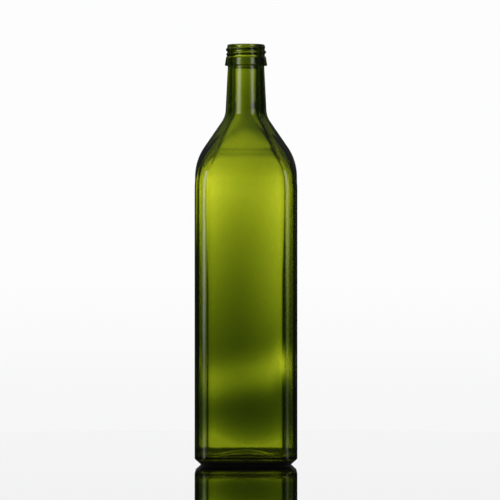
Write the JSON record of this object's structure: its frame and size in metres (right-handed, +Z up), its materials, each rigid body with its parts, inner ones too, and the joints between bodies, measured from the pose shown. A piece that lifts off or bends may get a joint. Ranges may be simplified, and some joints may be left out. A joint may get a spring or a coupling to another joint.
{
  "type": "square glass oil bottle",
  "caption": "Tall square green glass bottle for oil, open at the mouth, with a bevelled heel, sloping shoulders, tapered round neck and a screw finish with a tamper-band bead.",
  "frame": {"origin": "middle of the base, on the plane that the bottle stands on", "axes": "+Z up along the bottle's axis to the mouth; X and Y are square to the flat sides"},
  "size_m": [0.0746, 0.0746, 0.307],
  "materials": {
    "green_glass": "clear yellow-green glass, polished, with faint mould waviness"
  },
  "bodies": {
    "root": {"bottle": "green_glass"}
  },
  "joints": []
}
